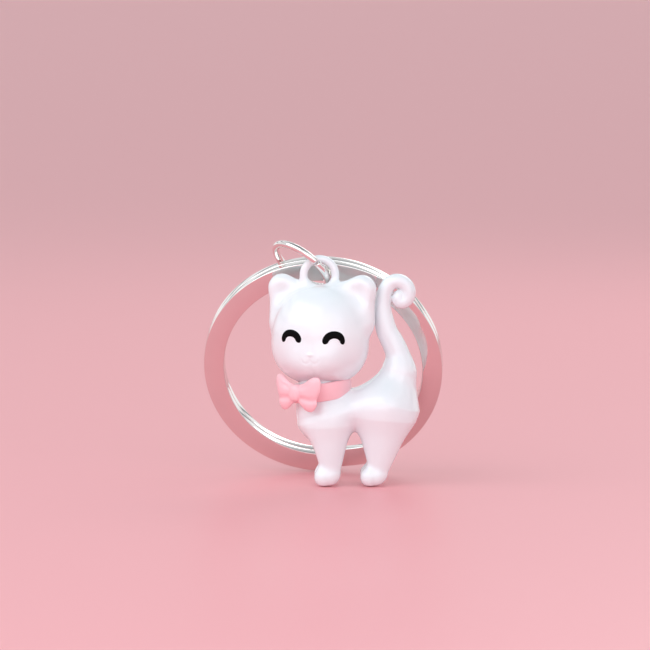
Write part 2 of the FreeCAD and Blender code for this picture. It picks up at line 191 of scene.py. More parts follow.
def enamel(name, thin, thick, roughness, coat, relief_mm, relief, shine=0.5):
    """Stove enamel: two tones where it runs thin and pools, a clear gloss coat, soft orange peel.

    The pools are a few millimetres across, the peel follows relief_mm.
    """
    material, tree = blank_material(name)
    place = add_node(tree, "ShaderNodeTexCoord").outputs["Object"]
    pools = add_node(tree, "ShaderNodeTexNoise",
                     {"Vector": place, "Scale": per_metre(5.0), "Detail": 2.0, "Roughness": 0.4})
    tone = add_node(tree, "ShaderNodeMix", {"Factor": pools.outputs["Fac"]}, data_type="RGBA")
    tone.inputs[6].default_value = linear(thick)
    tone.inputs[7].default_value = linear(thin)
    peel = add_node(tree, "ShaderNodeTexNoise",
                    {"Vector": place, "Scale": per_metre(relief_mm), "Detail": 1.0})
    gloss = add_node(tree, "ShaderNodeMapRange",
                     {"Value": peel.outputs["Fac"], "From Min": 0.3, "From Max": 0.7,
                      "To Min": roughness * 0.85, "To Max": roughness * 1.2})
    bump = add_node(tree, "ShaderNodeBump",
                    {"Height": peel.outputs["Fac"], "Strength": relief, "Distance": 0.05 * MM})
    shader = add_node(tree, "ShaderNodeBsdfPrincipled",
                      {"Base Color": tone.outputs[2], "Roughness": gloss.outputs[0],
                       "Normal": bump.outputs[0], "IOR": 1.5, "Specular IOR Level": shine,
                       "Coat Weight": coat, "Coat Roughness": 0.09, "Coat IOR": 1.5})
    add_node(tree, "ShaderNodeOutputMaterial", {"Surface": shader.outputs[0]})
    return material


def white_enamel():
    """White stove enamel on a zinc casting: bright body, wet gloss, faint unevenness."""
    colours = bpy.context.scene.cat_colours
    return enamel("white_stove_enamel", colours.white, colours.white_deep, 0.22, 0.7, 1.6, 0.10)


def pink_enamel():
    """Pink enamel, thinner and a little duller than the white."""
    colours = bpy.context.scene.cat_colours
    return enamel("pink_stove_enamel", colours.pink, colours.pink_deep, 0.36, 0.25, 0.9, 0.14)


def black_enamel():
    """Black enamel laid in the eyes: it stands slightly proud and shines."""
    colours = bpy.context.scene.cat_colours
    return enamel("black_inlay_enamel", colours.black, "#040405", 0.5, 0.0, 0.5, 0.10, 0.08)


def plated_metal(name, colour, roughness, scratch_mm, relief):
    """Bright plate with fine handling scratches that roughen it in short streaks."""
    material, tree = blank_material(name)
    place = add_node(tree, "ShaderNodeTexCoord").outputs["Object"]
    stretched = add_node(tree, "ShaderNodeMapping", {"Vector": place, "Scale": (1.0, 1.0, 6.0)})
    streaks = add_node(tree, "ShaderNodeTexNoise",
                       {"Vector": stretched.outputs[0], "Scale": per_metre(scratch_mm),
                        "Detail": 4.0, "Roughness": 0.6})
    dull = add_node(tree, "ShaderNodeMapRange",
                    {"Value": streaks.outputs["Fac"], "From Min": 0.35, "From Max": 0.75,
                     "To Min": roughness * 0.6, "To Max": roughness * 1.6})
    bump = add_node(tree, "ShaderNodeBump",
                    {"Height": streaks.outputs["Fac"], "Strength": relief, "Distance": 0.02 * MM})
    clouds = add_node(tree, "ShaderNodeTexNoise",
                      {"Vector": place, "Scale": per_metre(4.0), "Detail": 2.0})
    tone = add_node(tree, "ShaderNodeMix", {"Factor": clouds.outputs["Fac"]}, data_type="RGBA")
    tone.inputs[6].default_value = linear(colour)
    tone.inputs[7].default_value = tuple(c * 0.93 for c in linear(colour)[:3]) + (1.0,)
    shader = add_node(tree, "ShaderNodeBsdfPrincipled",
                      {"Base Color": tone.outputs[2], "Metallic": 1.0,
                       "Roughness": dull.outputs[0], "Normal": bump.outputs[0]})
    add_node(tree, "ShaderNodeOutputMaterial", {"Surface": shader.outputs[0]})
    return material


def nickel_plate():
    """Bright nickel over steel: a near mirror with faint streaks."""
    return plated_metal("bright_nickel_plate", bpy.context.scene.cat_colours.nickel, 0.05, 0.5, 0.05)


def drawn_steel():
    """Drawn steel pin: duller than plate, marked along its length."""
    return plated_metal("drawn_steel", bpy.context.scene.cat_colours.steel, 0.3, 0.3, 0.2)


def matt_card():
    """Plain matt painted board for the floor."""
    material, tree = blank_material("matt_painted_board")
    place = add_node(tree, "ShaderNodeTexCoord").outputs["Object"]
    tooth = add_node(tree, "ShaderNodeTexNoise",
                     {"Vector": place, "Scale": per_metre(0.8), "Detail": 2.0})
    bump = add_node(tree, "ShaderNodeBump",
                    {"Height": tooth.outputs["Fac"], "Strength": 0.05, "Distance": 0.05 * MM})
    colour = linear(bpy.context.scene.cat_colours.floor)
    shader = add_node(tree, "ShaderNodeBsdfPrincipled",
                      {"Base Color": colour, "Roughness": 0.42, "Normal": bump.outputs[0]})
    add_node(tree, "ShaderNodeOutputMaterial", {"Surface": shader.outputs[0]})
    return material


FINISHES = {
    "white_enamel": white_enamel,
    "pink_enamel": pink_enamel,
    "black_enamel": black_enamel,
    "bright_nickel": nickel_plate,
    "pin_steel": drawn_steel,
}
_made = {}


def finish_for(slot_name):
    """The slot's material, made once."""
    if slot_name not in _made:
        _made[slot_name] = FINISHES[slot_name]()
    return _made[slot_name]


# ---------------------------------------------------------------- meshes


def grid_faces(rows, columns, closed_columns=True):
    """Quads between neighbouring rows and columns of a grid of points, as one array."""
    index = np.arange(rows * columns).reshape(rows, columns)
    beside = np.roll(index, -1, axis=1)
    if not closed_columns:
        index, beside = index[:, :-1], beside[:, :-1]
    quads = (index[:-1], beside[:-1], beside[1:], index[1:])
    return np.stack([corner.ravel() for corner in quads], axis=1)


def clean(mesh):
    """Merges what lies on one point, drops collapsed faces and turns all faces outwards."""
    shape = bmesh.new()
    shape.from_mesh(mesh)
    bmesh.ops.remove_doubles(shape, verts=shape.verts, dist=0.0005 * MM)
    bmesh.ops.dissolve_degenerate(shape, edges=shape.edges, dist=0.0002 * MM)
    bmesh.ops.recalc_face_normals(shape, faces=shape.faces)
    shape.to_mesh(mesh)
    shape.free()


def add_piece(name, points, faces, slot_name, body, nodes=()):
    """Makes the mesh from figure coordinates, gives it its finish, and puts it on its CAD body."""
    mesh = bpy.data.meshes.new(name)
    row = (np.asarray(points).reshape(-1, 3) + FIGURE_ZERO) * MM
    mesh.from_pydata(row.tolist(), [], faces.tolist())
    clean(mesh)
    mesh.polygons.foreach_set("use_smooth", np.ones(len(mesh.polygons), bool))
    mesh.materials.append(finish_for(slot_name))
    piece = bpy.data.objects.new(name, mesh)
    bpy.context.scene.collection.objects.link(piece)
    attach(piece, body)
    if nodes:
        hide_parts(*nodes)
    return piece


def sweep(centres, across, upright, profile, capped=True):
    """Profile carried along a path: each point is the path's point plus the profile's two
    coordinates along two unit directions there. Each open end closes to its middle point."""
    rings = (centres[:, None] + profile[None, :, :1] * across[:, None]
             + profile[None, :, 1:] * upright[:, None])
    if capped:
        flat = np.repeat(centres[[0, -1]][:, None], profile.shape[0], axis=1)
        rings = np.concatenate([flat[:1], rings, flat[1:]])
    return rings


def rounded_bar(width, thick, edge, arc_points=5):
    """Rectangle whose four corners are quarter circles of radius edge."""
    start = np.array([0, 90, 180, 270])[:, None]
    angle = np.radians(start + np.linspace(0, 90, arc_points)[None])
    corner = np.array([[1, 1], [-1, 1], [-1, -1], [1, -1]]) * (width / 2 - edge, thick / 2 - edge)
    arcs = corner[:, None] + edge * np.stack([np.cos(angle), np.sin(angle)], axis=-1)
    return arcs.reshape(-1, 2)


# ---------------------------------------------------------------- distance fields


def blend_of(a, b, reach):
    """Union of two fields with a fillet: the smaller one, less a quarter of reach where equal."""
    near = np.clip(reach - np.abs(a - b), 0, None) / reach
    return np.minimum(a, b) - near * near * reach / 4


def trimmed(a, b, reach):
    """First field without the second, with a soft edge."""
    return -blend_of(-a, b, reach)


def ball(p, middle, radius):
    return np.linalg.norm(p - middle, axis=-1) - radius


def bar(p, foot, head, foot_radius, head_radius, squeeze=1.0):
    """Round-ended taper: distance to the line less a radius that runs evenly along it.

    squeeze above 1 makes the section narrower along Y.
    """
    stretch = np.array([1.0, squeeze, 1.0])
    line = (np.array(head, float) - foot) * stretch
    q = (p - np.array(foot, float)) * stretch
    along = np.clip(q @ line / (line @ line), 0, 1)
    distance = np.linalg.norm(q - along[..., None] * line, axis=-1)
    return distance - foot_radius - along * (head_radius - foot_radius)


def cubic(a, b, c, d, t):
    """Catmull-Rom span from b to c, with the slopes that their neighbours a and d give."""
    return 0.5 * (2 * b + (c - a) * t + (2 * a - 5 * b + 4 * c - d) * t ** 2
                  + (3 * b - a - 3 * c + d) * t ** 3)


def smooth_path(points, count):
    """Smooth curve through points, straight on past its two ends."""
    p = np.array(points, float)
    p = np.concatenate([2 * p[:1] - p[1:2], p, 2 * p[-1:] - p[-2:-1]])
    t = np.linspace(0, len(points) - 1 - 1e-9, count)
    i = t.astype(int)
    t = (t - i)[:, None]
    return cubic(p[i], p[i + 1], p[i + 2], p[i + 3], t)


def slope_of(field, p, value, reach=0.004):
    """Gradient by forward differences from the field's value at the same points."""
    return np.stack([(field(p + s) - value) / reach for s in np.eye(3) * reach], axis=-1)


def onto(field, p, rounds=4):
    """Moves points to the field's zero surface along its slope, Newton's way."""
    for _ in range(rounds):
        value = field(p)
        slope = slope_of(field, p, value)
        steep = np.maximum((slope * slope).sum(-1, keepdims=True), 0.05)
        p = p - value[..., None] * slope / steep
    return p


def outward(field, p):
    slope = slope_of(field, p, field(p))
    return slope / np.linalg.norm(slope, axis=-1, keepdims=True)


def filled_nodes(field, low, high, step):
    """True at each grid node inside the surface. The field is read at the middle of blocks of
    nodes first, and node by node only in blocks that lie near the surface."""
    block = 6
    count = [int(math.ceil((b - a) / step / block)) for a, b in zip(low, high)]
    node = np.stack(np.meshgrid(*[np.arange(n * block) for n in count], indexing="ij"), axis=-1)
    place = np.array(low) + node * step
    middle = place[::block, ::block, ::block] + (block - 1) / 2 * step
    value = field(middle)
    near = np.abs(value) < 1.8 * block * step * math.sqrt(3) / 2
    for axis in range(3):
        value = np.repeat(value, block, axis)
        near = np.repeat(near, block, axis)
    value[near] = field(place[near])
    return value < 0


def skin_of(field, low, high, step):
    """Mesh of a field's zero surface: one point in each grid cell that the surface passes,
    moved onto the surface, and one quad round each grid edge that crosses it."""
    inside = filled_nodes(field, low, high, step)
    filled = np.zeros(np.array(inside.shape) - 1, int)
    for corner in np.ndindex(2, 2, 2):
        filled += inside[tuple(slice(c, n - 1 + c) for c, n in zip(corner, inside.shape))]
    cells = np.argwhere((filled > 0) & (filled < 8))
    number = np.full(filled.shape, -1)
    number[tuple(cells.T)] = np.arange(len(cells))
    points = np.array(low) + (cells + 0.5) * step
    quads = []
    for axis in range(3):
        one, two = (axis + 1) % 3, (axis + 2) % 3
        lower = np.take(inside, np.arange(inside.shape[axis] - 1), axis)
        upper = np.take(inside, np.arange(1, inside.shape[axis]), axis)
        for out, order in ((lower & ~upper, 1), (upper & ~lower, -1)):
            edge = np.argwhere(out)
            ring = []
            for shift_one, shift_two in ((1, 1), (0, 1), (0, 0), (1, 0)):
                cell = edge.copy()
                cell[:, one] -= shift_one
                cell[:, two] -= shift_two
                ring.append(number[tuple(cell.T)])
            quads.append(np.stack(ring, axis=1)[:, ::order])
    quads = np.concatenate(quads)
    points = onto(field, points, 2)
    for _ in range(2):
        points = onto(field, relaxed(points, quads), 1)
    return onto(field, points, 1), quads


def relaxed(points, quads):
    """Each point moves half way to the mean of its neighbours along quad edges."""
    total = np.zeros_like(points)
    count = np.zeros(len(points))
    for a, b in ((0, 1), (1, 2), (2, 3), (3, 0)):
        np.add.at(total, quads[:, a], points[quads[:, b]])
        np.add.at(total, quads[:, b], points[quads[:, a]])
        np.add.at(count, quads[:, a], 1)
        np.add.at(count, quads[:, b], 1)
    return (points + total / count[:, None]) / 2


# ---------------------------------------------------------------- the body and the tail

TAIL = [
    # (sideways, height, radius) from the rump up and round the curl to its end
    (10.4, 15.0, 2.1), (10.35, 17.3, 1.72), (9.68, 19.2, 1.58), (8.8, 20.9, 1.46), (8.35, 22.55, 1.36),
    (8.15, 24.2, 1.18), (8.25, 25.6, 1.08), (8.6, 26.85, 1.02), (9.3, 27.68, 1.0), (10.3, 27.9, 1.0),
    (11.2, 27.45, 0.99), (11.68, 26.6, 0.97), (11.6, 25.7, 0.95), (11.1, 25.08, 0.92),
    (10.5, 25.1, 0.9), (10.25, 25.5, 0.88), (10.4, 25.9, 0.8),
]
TAIL_BACK = 0.2       # tail's middle plane, behind the body's

# tapers of the body: foot, head, radius at the foot, radius at the head, squeeze across
CHEST = ((0.45, 0, 9.6), (0.2, 0, 10.3), 3.95, 3.65)
BARREL = ((1.2, 0, 10.2), (8.4, 0, 11.1), 2.2, 2.9, 0.64)
RUMP = ((9.15, 0, 11.4), (10.4, 0, 15.4), 4.2, 2.15)
NECK = ((NECK_X, 0, 9.5), (NECK_X, 0, 15.2), 3.35, 3.2)

# legs: top, ankle, paw, radius at the top, squeeze across
FRONT_LEG = ((0.85, 0, 8.2), (1.12, 0, 2.0), (0.25, 0, 1.28), 3.05, 1.3)
HIND_LEG = ((8.3, 0, 9.2), (7.6, 0, 2.0), (6.5, 0, 1.28), 3.95, 1.55)
ANKLE = 1.27                           # radius at the ankle
PAW_LENGTH = 0.55                      # paw's length between its round ends
PAW = (1.42, 1.25, 1.06)               # paw's front radius, back radius and squeeze across


def tail_field(p):
    """Nearest of many short bars along the tail's smooth middle line."""
    line = smooth_path(TAIL, 90)
    out = np.full(p.shape[:-1], 4.0)
    close = (p[..., 2] > 10.5) & (p[..., 0] > 5.0)
    q = p[close]
    nearest = np.full(len(q), 4.0)
    for (x, z, radius), (next_x, next_z, next_radius) in zip(line[:-1], line[1:]):
        piece = bar(q, (x, TAIL_BACK, z), (next_x, TAIL_BACK, next_z), radius, next_radius)
        nearest = np.minimum(nearest, piece)
    out[close] = nearest
    return out


def leg_field(p, spread, top, ankle, paw, thigh, squeeze):
    """Cone of a leg, narrower across than along the body, and a round paw in front of it."""
    aside = np.array([0, spread, 0])
    shank = bar(p, np.array(ankle) + aside, np.array(top) + aside, ANKLE, thigh, squeeze)
    toe = bar(p, np.array(paw) + aside, np.array(paw) + aside + (PAW_LENGTH, 0, 0), *PAW)
    return blend_of(shank, toe, 0.9)


def body_field(p):
    """Chest, barrel and rump as tapers, four legs, neck and tail, all filleted together. The front
    and the hind legs meet the torso apart, so that the fillets leave the space between them open."""
    spread = bpy.context.scene.cat_sizes.leg_spread / MM
    torso = blend_of(bar(p, *CHEST), bar(p, *BARREL), 1.8)
    torso = blend_of(torso, bar(p, *RUMP), 1.6)
    fore, rear = torso, torso
    for side in (-1, 1):
        fore = blend_of(fore, leg_field(p, side * spread, *FRONT_LEG), 1.4)
        rear = blend_of(rear, leg_field(p, side * spread, *HIND_LEG), 2.0)
    whole = blend_of(fore, rear, 0.4)
    whole = blend_of(whole, bar(p, *NECK), 0.6)
    whole = blend_of(whole, tail_field(p), 1.1)
    below_floor = p[..., 2]
    return trimmed(whole, below_floor, 0.35)


# ---------------------------------------------------------------- the head


SKULL_POWER = 2.3       # superellipse's power: 2 is an ellipse, more is squarer
SKULL_LEFT = 0.18       # skull's middle, left of the face's
SKULL_TAPER = 0.012     # share by which the skull widens for each millimetre down
SKULL_SCALE = 1.1       # brings the egg's level near to a true distance
CHEEK = ((0.6, -3.5, -3.2), (1.4, -3.3, -3.0), 1.75, 1.7)          # a taper, as the body's are
EAR_BACK = 0.35         # ears' middle plane, behind the head's
EAR_OUTER = ((5.25, 0, 2.0), (5.6, 0, 6.35), 2.1, 1.75, 1.35)
EAR_INNER = ((5.6, 0, 6.35), (2.9, 0, 5.85), 1.75, 1.5, 1.35)
EAR_DISH = ((5.0, -3.95, 5.7), 3.1)                                # middle and radius
FACE_LEFT = 0.25        # nose and mouth, left of the head's middle
NOSE_DROP = 2.2         # nose, below the head's middle
NOSE_HEIGHT = 0.12      # how far the nose stands out
MOUTH_DROP = 2.8        # middle of the mouth's two arcs, below the head's middle
MOUTH_TOP = 2.85        # arcs are cut off above this
MOUTH_RADIUS = 0.62     # radius of each arc, and its middle's distance from the nose's line
MOUTH_DEPTH = 0.06      # how deep the mouth is cut


def mirrored(q, back=0.0):
    """Both halves of the head as one, measured from a plane that lies back from the middle."""
    return np.stack([np.abs(q[..., 0]), q[..., 1] - back, q[..., 2]], axis=-1)


def head_middle():
    sizes = bpy.context.scene.cat_sizes
    return np.array([-HEAD_LEFT, -sizes.head_ahead / MM, sizes.head_rise / MM])


def to_head(p):
    """Figure coordinates to the head's own axes, zero at its middle."""
    angle = bpy.context.scene.cat_sizes.head_turn
    q = p - head_middle()
    x = q[..., 0] * math.cos(angle) - q[..., 1] * math.sin(angle)
    y = q[..., 0] * math.sin(angle) + q[..., 1] * math.cos(angle)
    return np.stack([x, y, q[..., 2]], axis=-1)


def from_head(q):
    """The head's own axes back to figure coordinates."""
    angle = bpy.context.scene.cat_sizes.head_turn
    x = q[..., 0] * math.cos(angle) + q[..., 1] * math.sin(angle)
    y = -q[..., 0] * math.sin(angle) + q[..., 1] * math.cos(angle)
    return np.stack([x, y, q[..., 2]], axis=-1) + head_middle()


def skull_field(q):
    """Egg: a superellipse seen from the front, wider towards the cheeks, and an ellipse in depth."""
    sizes = bpy.context.scene.cat_sizes
    wide = sizes.head_half_width / MM * (1 - SKULL_TAPER * q[..., 2])
    deep = sizes.head_half_depth / MM
    high = sizes.head_half_height / MM
    across = np.abs((q[..., 0] + SKULL_LEFT) / wide) ** SKULL_POWER
    upright = np.abs(q[..., 2] / high) ** SKULL_POWER
    front = (across + upright) ** (2 / SKULL_POWER)
    return (np.sqrt(front + (q[..., 1] / deep) ** 2) - 1) * deep * SKULL_SCALE


def ear_field(q):
    """Rounded triangle of two tapers, thin from front to back, dished in front."""
    half = mirrored(q, EAR_BACK)
    blade = blend_of(bar(half, *EAR_OUTER), bar(half, *EAR_INNER), 0.8)
    return trimmed(blade, ball(half, *EAR_DISH), 0.6)


def loop_field(p):
    """Round eye loop standing on the crown, facing front."""
    low, high = figure_box("crown_loop")
    radius = (high[0] - low[0]) / 2 - LOOP_WIRE
    middle = np.array([(low[0] + high[0]) / 2, 0, high[2] - radius - LOOP_WIRE])
    q = p - middle
    flat = np.hypot(q[..., 0], q[..., 2]) - radius
    return np.hypot(flat, q[..., 1]) - LOOP_WIRE


def relief(q):
    """Nose raised and mouth cut into the front of the head, as a height in millimetres."""
    x = q[..., 0] + FACE_LEFT
    z = q[..., 2]
    front = q[..., 1] < -2
    nose = NOSE_HEIGHT * np.exp(-((x / 0.42) ** 2 + ((z + NOSE_DROP) / 0.24) ** 2) ** 1.5)
    smile = np.hypot(np.abs(x) - MOUTH_RADIUS, z + MOUTH_DROP)
    lower = 1 / (1 + np.exp(np.clip((z + MOUTH_TOP) / 0.06, -40, 40)))
    mouth = MOUTH_DEPTH * np.exp(-((smile - MOUTH_RADIUS) / 0.13) ** 2) * lower
    return np.where(front, nose - mouth, 0.0)


def face_field(p):
    """Skull with its cheeks, without ears or relief."""
    q = to_head(p)
    return blend_of(skull_field(q), bar(mirrored(q), *CHEEK), 2.0)


def head_field(p):
    """Face, ears and crown loop filleted together, with the relief."""
    q = to_head(p)
    whole = blend_of(face_field(p), ear_field(q), 1.3)
    whole = blend_of(whole, loop_field(p), 0.8)
    return whole - relief(q)


# ---------------------------------------------------------------- eyes


EYE_HALF_WIDTH = 1.6     # from the arch's middle to its foot, sideways
EYE_RISE = 1.2           # from the arch's foot to its top
EYE_PROUD = 0.09         # how far the enamel stands out of the face
EYE_DEEP = 0.25          # how far it goes into the face
EYE_SIDE = 3.6           # arch's middle, sideways from between the eyes
EYES_LEFT = 0.04         # between the eyes, left of the head's middle
EYE_DROP = 0.5           # arch's foot, below the head's middle
EYE_TIP = 0.06           # how far the right eye is lower and the left eye higher
FACE_AHEAD = 6.0         # where the arch is drawn, in front of the face that it is moved onto


def eye_patch(side):
    """Arched stroke on the face: an arch of half a superellipse laid on the surface, with a
    lens-shaped section that runs out to nothing at its two round ends."""
    sizes = bpy.context.scene.cat_sizes
    half = sizes.eye_stroke / MM / 2
    rows, columns = 72, 20
    along = np.linspace(-1, 1, rows)
    angle = np.pi / 2 * (1 - along * 1.06)
    sign = np.sign(np.cos(angle))
    x = EYE_HALF_WIDTH * sign * np.abs(np.cos(angle)) ** 0.95
    z = EYE_RISE * np.sin(angle)
    line = np.stack([x, np.zeros(rows), z], axis=-1)
    way = np.gradient(line, axis=0)
    way = way / np.linalg.norm(way, axis=-1, keepdims=True)
    across = np.stack([way[:, 2], np.zeros(rows), -way[:, 0]], axis=-1)
    travelled = np.concatenate([[0], np.cumsum(np.linalg.norm(np.diff(line, axis=0), axis=-1))])
    end = np.minimum(travelled, travelled[-1] - travelled)
    width = half * np.sqrt(np.clip(1 - (1 - np.clip(end / half, 0, 1)) ** 2, 0, 1))
    turn_round = np.linspace(0, 2 * np.pi, columns, endpoint=False)
    sideways = np.sign(np.cos(turn_round)) * np.abs(np.cos(turn_round)) ** 0.7
    middle = np.array([EYE_SIDE * side - EYES_LEFT, -FACE_AHEAD, -EYE_DROP - EYE_TIP * side])
    flat = middle + line[:, None] + across[:, None] * (width[:, None] * sideways)[..., None]
    surface = onto(face_field, from_head(flat), 12)
    lift = np.where(np.sin(turn_round) > 0, EYE_PROUD, EYE_DEEP) * np.sin(turn_round)
    height = lift[None] * (width / half)[:, None] ** 0.5
    return surface + outward(face_field, surface) * height[..., None]


# ---------------------------------------------------------------- collar and bow


def bow_axes():
    """Knot's middle, the way out from the neck and the way to the bow's right."""
    sizes = bpy.context.scene.cat_sizes
    bearing = sizes.bow_bearing
    out = np.array([-math.sin(bearing), -math.cos(bearing), 0])
    side = np.array([-out[1], out[0], 0])
    low, high = figure_box("bow_knot")
    knot = (low + high) / 2 + out * 0.1 + np.array([-0.1, 0, 0.2])
    return knot, out, side


WING_PUFF = 0.62      # half the wing's thickness at its middle
WING = [
    # (out from the knot, up) round a wing: upper lobe, notch, lower lobe
    (0.1, 0.85), (1.5, 1.45), (3.1, 2.3), (4.2, 2.15), (4.35, 1.0), (4.0, -0.1), (3.7, -0.7),
    (3.7, -1.5), (2.95, -2.35), (1.9, -2.3), (0.9, -1.6), (0.1, -0.8),
]


def wing_surface(way):
    """Puffed wing: its outline shrunk towards its middle line of points, with a thickness that
    falls to the rim as the root of a parabola, and a crease that runs out from the knot."""
    knot, out, side = bow_axes()
    outline = closed_curve(WING, 150)
    middle = np.array([2.0, 0.1])
    rows = 18
    shrink = np.sin(np.linspace(0, np.pi / 2, rows))
    shrink = np.concatenate([shrink, shrink[-2::-1]])
    face = np.concatenate([np.ones(rows), -np.ones(rows - 1)])
    flat = middle + (outline[None] - middle) * shrink[:, None, None]
    puff = WING_PUFF * np.clip(1 - shrink ** 2.6, 0, 1)[:, None] ** 0.6 * face[:, None]
    u, v = flat[..., 0], flat[..., 1]
    crease = np.exp(-((v + 0.55 + 0.1 * u) / 0.42) ** 2) * np.clip(u / 1.5, 0, 1)
    fold = np.exp(-((v - 0.55 - 0.22 * u) / 0.3) ** 2) * np.clip(1 - np.abs(u - 1.6) / 1.6, 0, 1)
    depth = puff * (1 - 0.42 * crease - 0.3 * fold)
    back = -0.02 * u * u
    return (knot + side * (way * u)[..., None] + np.array([0, 0, 1]) * v[..., None]
            + out * (depth + back + 0.15)[..., None])


def closed_curve(points, count):
    """Smooth curve through points and back to the first."""
    p = np.array(points, float)
    t = np.linspace(0, len(p), count, endpoint=False)
    i = t.astype(int)
    t = (t - i)[:, None]
    before, start, end, after = (p[(i + k) % len(p)] for k in (-1, 0, 1, 2))
    return cubic(before, start, end, after, t)


KNOT_HALF = (1.12, 0.95, 1.2)     # half the knot's width, depth and height
COLLAR_WALL = 0.9                 # thickness of the collar ribbon
COLLAR_LIFT = 0.3                 # how far the collar stands above its CAD solid
COLLAR_TILT = 0.5                 # how much higher the collar is on the tail's side


def soft(value, power):
    """Power that keeps the sign, for squarish outlines."""
    return np.sign(value) * np.abs(value) ** power


def knot_surface():
    """Squarish pad: a superellipsoid."""
    knot, out, side = bow_axes()
    up_angle = np.linspace(-np.pi / 2, np.pi / 2, 33)[:, None]
    round_angle = np.linspace(0, 2 * np.pi, 48, endpoint=False)[None]
    width, depth, height = KNOT_HALF
    x = width * soft(np.cos(up_angle), 0.7) * soft(np.cos(round_angle), 0.75)
    y = depth * soft(np.cos(up_angle), 0.7) * soft(np.sin(round_angle), 0.8)
    z = height * soft(np.sin(up_angle), 0.8) * np.ones_like(round_angle)
    return knot + side * x[..., None] + out * (y + 0.1)[..., None] + np.array([0, 0, 1]) * z[..., None]


def collar_surface():
    """Ribbon round the neck: a rounded bar carried round a circle, higher on the tail's side."""
    sizes = bpy.context.scene.cat_sizes
    radius = sizes.collar_radius / MM - COLLAR_WALL / 2
    angle = np.linspace(0, 2 * np.pi, 145)
    top = figure_box("collar_ribbon")[1][2]
    rise = top - sizes.collar_height / MM / 2 + COLLAR_LIFT
    out = np.stack([np.cos(angle), np.sin(angle), np.zeros_like(angle)], axis=-1)
    tilt = COLLAR_TILT * np.cos(angle)
    centres = out * radius + np.array([NECK_X, 0, rise]) + tilt[:, None] * (0, 0, 1)
    up = np.broadcast_to([0.0, 0.0, 1.0], out.shape)
    profile = rounded_bar(COLLAR_WALL, sizes.collar_height / MM, 0.2)
    return sweep(centres, out, up, profile, capped=False)


# ---------------------------------------------------------------- rings


def ring_frame():
    """Middle and axes of the split ring: it hangs at the jump ring and its lower edge is down on
    the floor, so its lean follows from the height of its highest band point."""
    sizes = bpy.context.scene.cat_rings
    radius = sizes.ring_outer / MM / 2
    middle = radius - sizes.band_width / MM / 2
    half_thick = (sizes.turn_thick + sizes.turn_gap / 2) / MM
    top = LOOP_MIDDLE + HANG
    reach = math.hypot(radius + middle, half_thick)
    lean = math.acos(top[2] / reach) + math.atan2(half_thick, radius + middle)
    yaw = sizes.ring_yaw
    front = np.array([-math.sin(yaw) * math.cos(lean), -math.cos(yaw) * math.cos(lean), -math.sin(lean)])
    right = np.array([math.cos(yaw), -math.sin(yaw), 0])
    up = np.cross(front, right)
    return top - up * middle, right, up, front, middle


def split_ring_surface():
    """One flat strip wound twice: rear turn, a smooth step, front turn; its ends are cut square."""
    sizes = bpy.context.scene.cat_rings
    centre, right, up, front, middle = ring_frame()
    slack = math.radians(2)
    start = sizes.jog_angle + slack
    end = 4 * math.pi - slack
    angle = np.linspace(start, end, 480)
    step = np.clip((angle - 2 * math.pi) / sizes.jog_angle, 0, 1)
    step = step * step * (3 - 2 * step)
    rise = (sizes.turn_thick + sizes.turn_gap) / MM
    offset = (step - 0.5) * rise
    spun = angle + sizes.jog_at
    out = np.cos(spun)[:, None] * right + np.sin(spun)[:, None] * up
    centres = centre + out * middle + offset[:, None] * front
    profile = rounded_bar(sizes.band_width / MM, sizes.turn_thick / MM, 0.16)
    return sweep(centres, out, np.broadcast_to(front, out.shape), profile)


def jump_ring_surface():
    """Round wire bent to a circle, its two ends cut square and nearly touching."""
    sizes = bpy.context.scene.cat_rings
    level = math.cos(JUMP_TIP)
    axis = np.array([level * math.sin(JUMP_SLOPE), math.sin(JUMP_TIP), level * math.cos(JUMP_SLOPE)])
    left = np.array([-math.cos(JUMP_SLOPE), 0, math.sin(JUMP_SLOPE)])
    across = np.cross(axis, left)
    centre = LOOP_MIDDLE + JUMP_MIDDLE
    start = sizes.jump_butt_at + sizes.jump_butt / 2
    angle = np.linspace(start, start + 2 * math.pi - sizes.jump_butt, 200)
    out = np.cos(angle)[:, None] * left + np.sin(angle)[:, None] * across
    centres = centre + out * (sizes.jump_radius / MM)
    spin = np.linspace(0, 2 * np.pi, 28, endpoint=False)
    profile = sizes.jump_wire / MM / 2 * np.stack([np.cos(spin), np.sin(spin)], axis=-1)
    return sweep(centres, out, np.broadcast_to(axis, out.shape), profile)


def add_grid(name, surface, slot_name, body, nodes):
    rows, columns = surface.shape[:2]
    return add_piece(name, surface, grid_faces(rows, columns), slot_name, body, nodes)


# ---------------------------------------------------------------- operators


class CAT_OT_add_body(bpy.types.Operator):
    """Adds the enamelled body, legs and tail in one skin, as the enamel covers them"""
    bl_idname = "cat.add_body"
    bl_label = "Body and tail"

    def execute(self, context):
        step = context.scene.cat_sizes.mesh_step / MM
        points, quads = skin_of(body_field, *BODY_REACH, step * 1.2)
        add_piece("cat_body_enamel", points, quads, "white_enamel", "cat",
                  ("body_casting", "tail_casting"))
        return {"FINISHED"}


class CAT_OT_add_head(bpy.types.Operator):
    """Adds the head with its ears, nose, mouth and the crown loop"""
    bl_idname = "cat.add_head"
    bl_label = "Head"

    def execute(self, context):
        step = context.scene.cat_sizes.mesh_step / MM
        points, quads = skin_of(head_field, *HEAD_REACH, step)
        add_piece("cat_head_enamel", points, quads, "white_enamel", "cat",
                  ("head_casting", "crown_loop"))
        return {"FINISHED"}


class CAT_OT_add_eyes(bpy.types.Operator):
    """Adds the two arched eyes"""
    bl_idname = "cat.add_eyes"
    bl_label = "Eyes"

    def execute(self, context):
        for name, side in (("left_eye", -1), ("right_eye", 1)):
            add_grid(name, eye_patch(side), "black_enamel", "cat", (f"{name}_enamel",))
        return {"FINISHED"}


